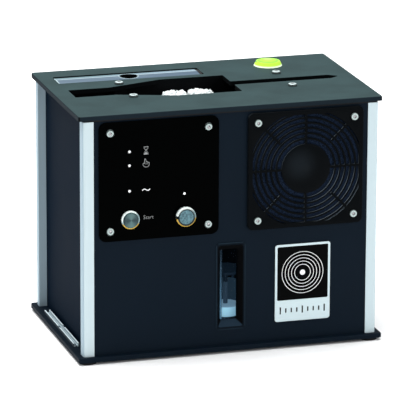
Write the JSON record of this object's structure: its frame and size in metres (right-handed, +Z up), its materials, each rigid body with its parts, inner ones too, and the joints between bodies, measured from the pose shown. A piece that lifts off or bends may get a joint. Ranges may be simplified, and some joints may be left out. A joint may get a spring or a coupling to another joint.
{
  "type": "record cleaning machine",
  "caption": "Upright record cleaning machine: slotted top, brush rollers over a wash trough, drying fans, control plate and a water-level window.",
  "frame": {"origin": "on the ground under the middle of the case", "axes": "+X to the right along the record slot, +Y to the back, +Z up"},
  "size_m": [0.343, 0.244, 0.282],
  "materials": {
    "case_paint": "fine textured near-black blue paint",
    "top_paint": "satin grey-green paint",
    "aluminium": "satin anodised",
    "bright_steel": "polished",
    "bracket_steel": "brushed",
    "rubber": "matt",
    "grey_plastic": "moulded",
    "black_plastic": "moulded",
    "gloss_black": "high gloss",
    "white_plastic": "moulded",
    "vial_green": "clear, fluorescent",
    "clear": "clear acrylic",
    "frosted": "translucent",
    "foam": "open-cell foam",
    "fleece": "short white pile",
    "board": "printed circuit board",
    "brass": "nickel plated"
  },
  "bodies": {
    "housing": {"base_plate": "case_paint", "feet": "rubber", "corner_posts": "aluminium", "base_rails": "aluminium", "front_panel": "case_paint", "rear_panel": "case_paint", "left_side_panel": "case_paint", "right_side_panel": "case_paint", "top_plate": "top_paint", "top_seal": "rubber", "top_screws": "bright_steel", "panel_screws": "bright_steel", "wash_trough": "grey_plastic", "front_splash_wall": "grey_plastic", "rear_splash_wall": "grey_plastic", "gear_bracket": "bracket_steel", "roller_motor": "bracket_steel", "record_motor": "bracket_steel", "ultrasonic_transducer": "bracket_steel", "front_fan_grille": "black_plastic", "rear_fan_grille": "black_plastic", "front_fan_frame": "black_plastic", "rear_fan_frame": "black_plastic", "filter_mats": "foam", "control_plate": "gloss_black", "status_lamps": "white_plastic", "start_switch": "bright_steel", "selector_switch": "bright_steel", "control_board": "board", "window_bezel": "black_plastic", "window_pane": "clear", "water_tank": "grey_plastic", "float_cage": "frosted", "filter_basket": "grey_plastic", "spirit_level_body": "white_plastic", "spirit_level_vial": "vial_green", "nameplate": "bright_steel", "power_inlet": "black_plastic", "drain_tap": "brass", "pump": "black_plastic"},
    "rear_left_roller": {"rear_left_spindle": "bracket_steel", "rear_left_sleeve": "fleece"},
    "rear_right_roller": {"rear_right_spindle": "bracket_steel", "rear_right_sleeve": "fleece"},
    "front_left_roller": {"front_left_spindle": "bracket_steel", "front_left_sleeve": "fleece"},
    "front_right_roller": {"front_right_spindle": "bracket_steel", "front_right_sleeve": "fleece"},
    "link_gear": {"link_gear": "white_plastic"},
    "motor_gear": {"motor_gear": "white_plastic"},
    "drive_wheel": {"drive_wheel": "rubber"},
    "idler_wheel": {"idler_wheel": "rubber"},
    "front_fan": {"front_fan_rotor": "black_plastic"},
    "rear_fan": {"rear_fan_rotor": "black_plastic"},
    "start_button": {"start_button": "bright_steel"},
    "selector_knob": {"selector_knob": "bright_steel"},
    "power_rocker": {"power_rocker": "black_plastic"},
    "filter_lid": {"filter_lid": "clear"},
    "level_float": {"level_float": "frosted"},
    "tap_lever": {"tap_lever": "bright_steel"}
  },
  "joints": [
    {"name": "rear_left_roller_spin", "type": "hinge", "parent": "housing", "child": "rear_left_roller", "pos_m": [-0.03, 0.0145, 0.1], "axis": [0, 0, 1], "continuous": true},
    {"name": "rear_right_roller_spin", "type": "hinge", "parent": "housing", "child": "rear_right_roller", "pos_m": [-0.0015, 0.0145, 0.1], "axis": [0, 0, 1], "continuous": true},
    {"name": "front_left_roller_spin", "type": "hinge", "parent": "housing", "child": "front_left_roller", "pos_m": [-0.03, -0.0195, 0.1], "axis": [0, 0, 1], "continuous": true},
    {"name": "front_right_roller_spin", "type": "hinge", "parent": "housing", "child": "front_right_roller", "pos_m": [-0.0015, -0.0195, 0.1], "axis": [0, 0, 1], "continuous": true},
    {"name": "link_gear_spin", "type": "hinge", "parent": "housing", "child": "link_gear", "pos_m": [-0.04586, -0.0025, 0.026], "axis": [0, 0, 1], "continuous": true},
    {"name": "motor_gear_spin", "type": "hinge", "parent": "housing", "child": "motor_gear", "pos_m": [-0.03, 0.05125, 0.026], "axis": [0, 0, 1], "continuous": true},
    {"name": "drive_wheel_spin", "type": "hinge", "parent": "housing", "child": "drive_wheel", "pos_m": [0.093, -0.0025, 0.06888], "axis": [0, 1, 0], "continuous": true},
    {"name": "idler_wheel_spin", "type": "hinge", "parent": "housing", "child": "idler_wheel", "pos_m": [-0.091, -0.0025, 0.06888], "axis": [0, 1, 0], "continuous": true},
    {"name": "front_fan_spin", "type": "hinge", "parent": "housing", "child": "front_fan", "pos_m": [0.0825, -0.085, 0.2012], "axis": [0, -1, 0], "continuous": true},
    {"name": "rear_fan_spin", "type": "hinge", "parent": "housing", "child": "rear_fan", "pos_m": [0.0825, 0.085, 0.2012], "axis": [0, 1, 0], "continuous": true},
    {"name": "start_press", "type": "slide", "parent": "housing", "child": "start_button", "axis": [0, 1, 0], "range_m": [0, 0.0015], "stiffness_N_per_m": 1500, "springref_m": -0.001},
    {"name": "selector_turn", "type": "hinge", "parent": "housing", "child": "selector_knob", "pos_m": [-0.0531, -0.108, 0.1585], "axis": [0, 1, 0], "range_deg": [0, 270]},
    {"name": "power_rock", "type": "hinge", "parent": "housing", "child": "power_rocker", "pos_m": [-0.108, 0.102, 0.076], "axis": [-1, 0, 0], "range_deg": [0, 18]},
    {"name": "lid_lift", "type": "slide", "parent": "housing", "child": "filter_lid", "axis": [0, 0, 1], "range_m": [0, 0.06]},
    {"name": "float_rise", "type": "slide", "parent": "housing", "child": "level_float", "axis": [0, 0, 1], "range_m": [0, 0.036]},
    {"name": "tap_turn", "type": "hinge", "parent": "housing", "child": "tap_lever", "pos_m": [0.124, 0.1115, 0.0385], "axis": [0, 0, -1], "range_deg": [0, 90]}
  ],
  "couplings": [
    {"joint": "front_left_roller_spin", "follows": "rear_left_roller_spin", "ratio": 1},
    {"joint": "rear_right_roller_spin", "follows": "rear_left_roller_spin", "ratio": -1},
    {"joint": "front_right_roller_spin", "follows": "rear_left_roller_spin", "ratio": -1},
    {"joint": "link_gear_spin", "follows": "rear_left_roller_spin", "ratio": -1.5833},
    {"joint": "motor_gear_spin", "follows": "rear_left_roller_spin", "ratio": -0.63333}
  ]
}
